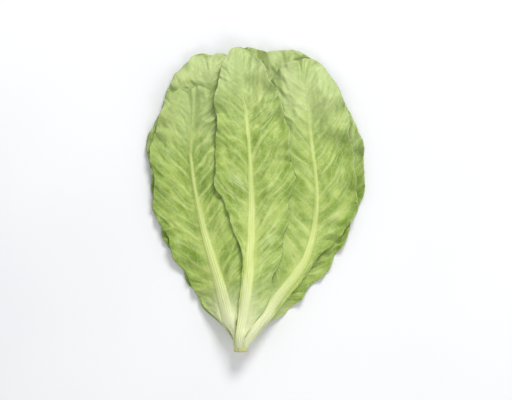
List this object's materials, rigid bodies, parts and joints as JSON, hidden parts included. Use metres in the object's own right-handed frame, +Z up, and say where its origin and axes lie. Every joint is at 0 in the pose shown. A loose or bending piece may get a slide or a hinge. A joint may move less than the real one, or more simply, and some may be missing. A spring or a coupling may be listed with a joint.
{
  "type": "leaf lettuce",
  "caption": "Young green leaf lettuce with long wavy leaves on a short cut stem, lying flat; a whole salad plant for kitchen, market and table scenes.",
  "frame": {"origin": "on the table, under the middle of the lettuce", "axes": "+Y runs from the cut stem to the leaf tips, +X to the lettuce's right when it is looked down on with the stem nearest, and +Z up"},
  "size_m": [0.1924, 0.2672, 0.0358],
  "materials": {
    "leaf_blade": "fresh green leaf, softly glossy, with a pale rib and veins",
    "heart_leaf": "young pale green leaf, softly glossy",
    "stem": "pale green-white stem with a slightly browned cut end"
  },
  "bodies": {
    "root": {"leaf_under_left": "leaf_blade", "leaf_under_right": "leaf_blade", "leaf_under_middle": "leaf_blade", "leaf_inner_left": "leaf_blade", "leaf_inner_right": "leaf_blade", "leaf_side_left": "leaf_blade", "leaf_side_right": "leaf_blade", "leaf_front_right": "leaf_blade", "leaf_front_middle": "leaf_blade", "heart_leaf_left": "heart_leaf", "heart_leaf_right": "heart_leaf", "stem": "stem"}
  },
  "joints": []
}
